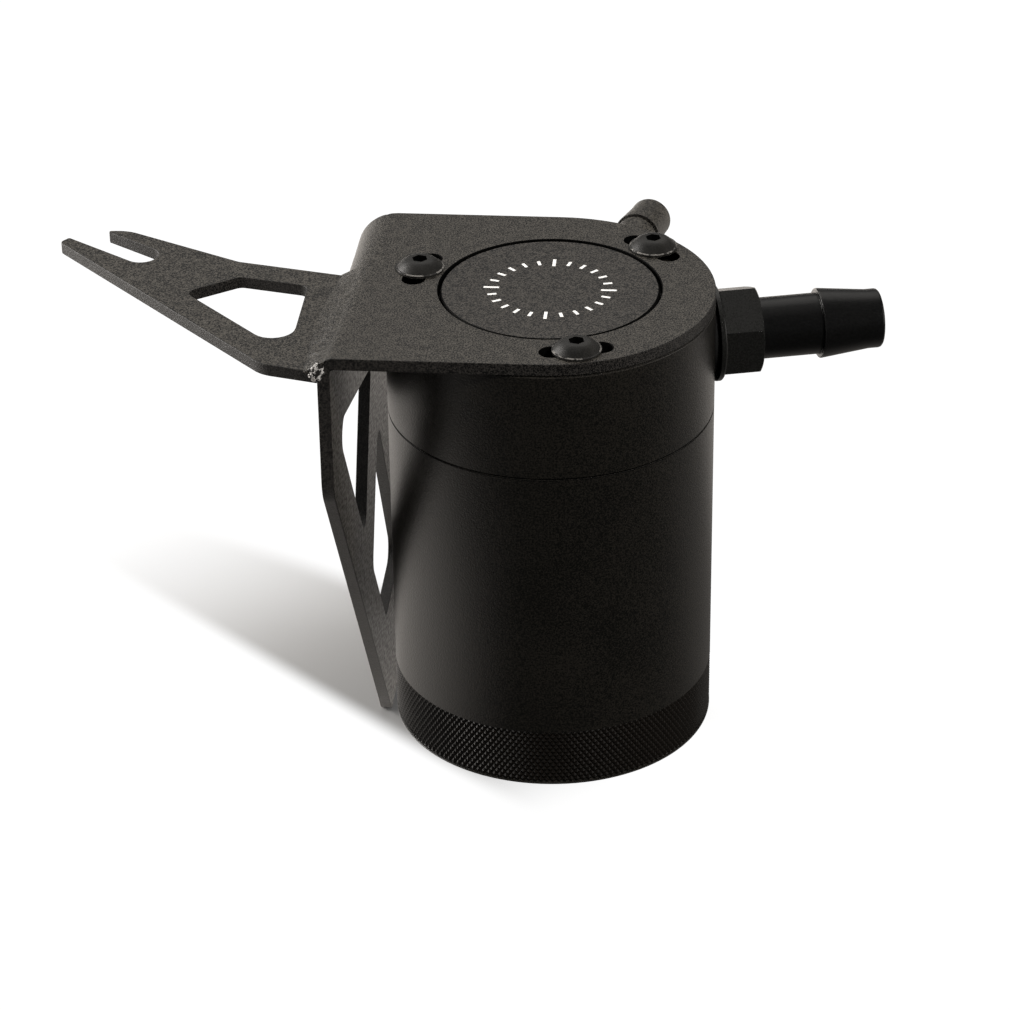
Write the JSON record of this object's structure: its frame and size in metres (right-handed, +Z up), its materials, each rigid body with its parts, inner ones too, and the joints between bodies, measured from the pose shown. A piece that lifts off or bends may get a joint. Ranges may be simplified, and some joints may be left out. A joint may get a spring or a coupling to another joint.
{
  "type": "oil catch can",
  "caption": "Black cylindrical oil catch can with a screw-on cup, hose barbs and a welded steel bracket that has a windowed leg and a forked arm",
  "frame": {"origin": "centre of the cup's flat base, on the can's axis", "axes": "+Z up along the can's axis; -Y to the front; the bracket's leg and arm on the -X side, the side fitting towards +X"},
  "size_m": [0.2057, 0.1361, 0.1588],
  "materials": {
    "powder_coat": "fine-textured charcoal powder coat",
    "black_anodised": "satin black anodised",
    "black_gloss_anodised": "smooth black anodised",
    "seal_rubber": "matte black",
    "black_steel": "black oxide with a worn bright rim",
    "plain_aluminium": "bare machined",
    "zinc_steel": "zinc plated",
    "filter_brass": "machined",
    "filter_bronze": "sintered, grainy"
  },
  "bodies": {
    "bracket": {"bracket_plate": "powder_coat", "bracket_arm": "powder_coat", "weld_top": "powder_coat", "weld_bottom": "powder_coat"},
    "head": {"cap": "black_anodised", "side_fitting": "black_gloss_anodised", "side_ring": "seal_rubber", "rear_fitting": "black_gloss_anodised", "rear_ring": "seal_rubber", "cap_screw_1": "black_steel", "cap_screw_2": "black_steel", "cap_screw_3": "black_steel", "baffle_plate": "plain_aluminium", "baffle_post_1": "plain_aluminium", "baffle_post_2": "plain_aluminium", "baffle_post_3": "plain_aluminium", "baffle_screw_1": "zinc_steel", "baffle_screw_2": "zinc_steel", "baffle_screw_3": "zinc_steel", "filter_base": "filter_brass", "filter_element": "filter_bronze"},
    "ring": {"cup_ring": "seal_rubber"},
    "cup": {"cup": "black_anodised"}
  },
  "joints": [
    {"name": "can_swivel", "type": "hinge", "parent": "bracket", "child": "head", "pos_m": [0, 0, 0.1155], "axis": [0, 0, 1], "range_deg": [-10, 10]},
    {"name": "ring_travel", "type": "slide", "parent": "head", "child": "ring", "axis": [0, 0, -1], "range_m": [0, 0.01]},
    {"name": "cup_turn", "type": "hinge", "parent": "ring", "child": "cup", "pos_m": [0, 0, 0.08], "axis": [0, 0, -1], "range_deg": [0, 1800]}
  ],
  "couplings": [
    {"joint": "ring_travel", "follows": "cup_turn", "m_per_rad": 0.00031831}
  ]
}
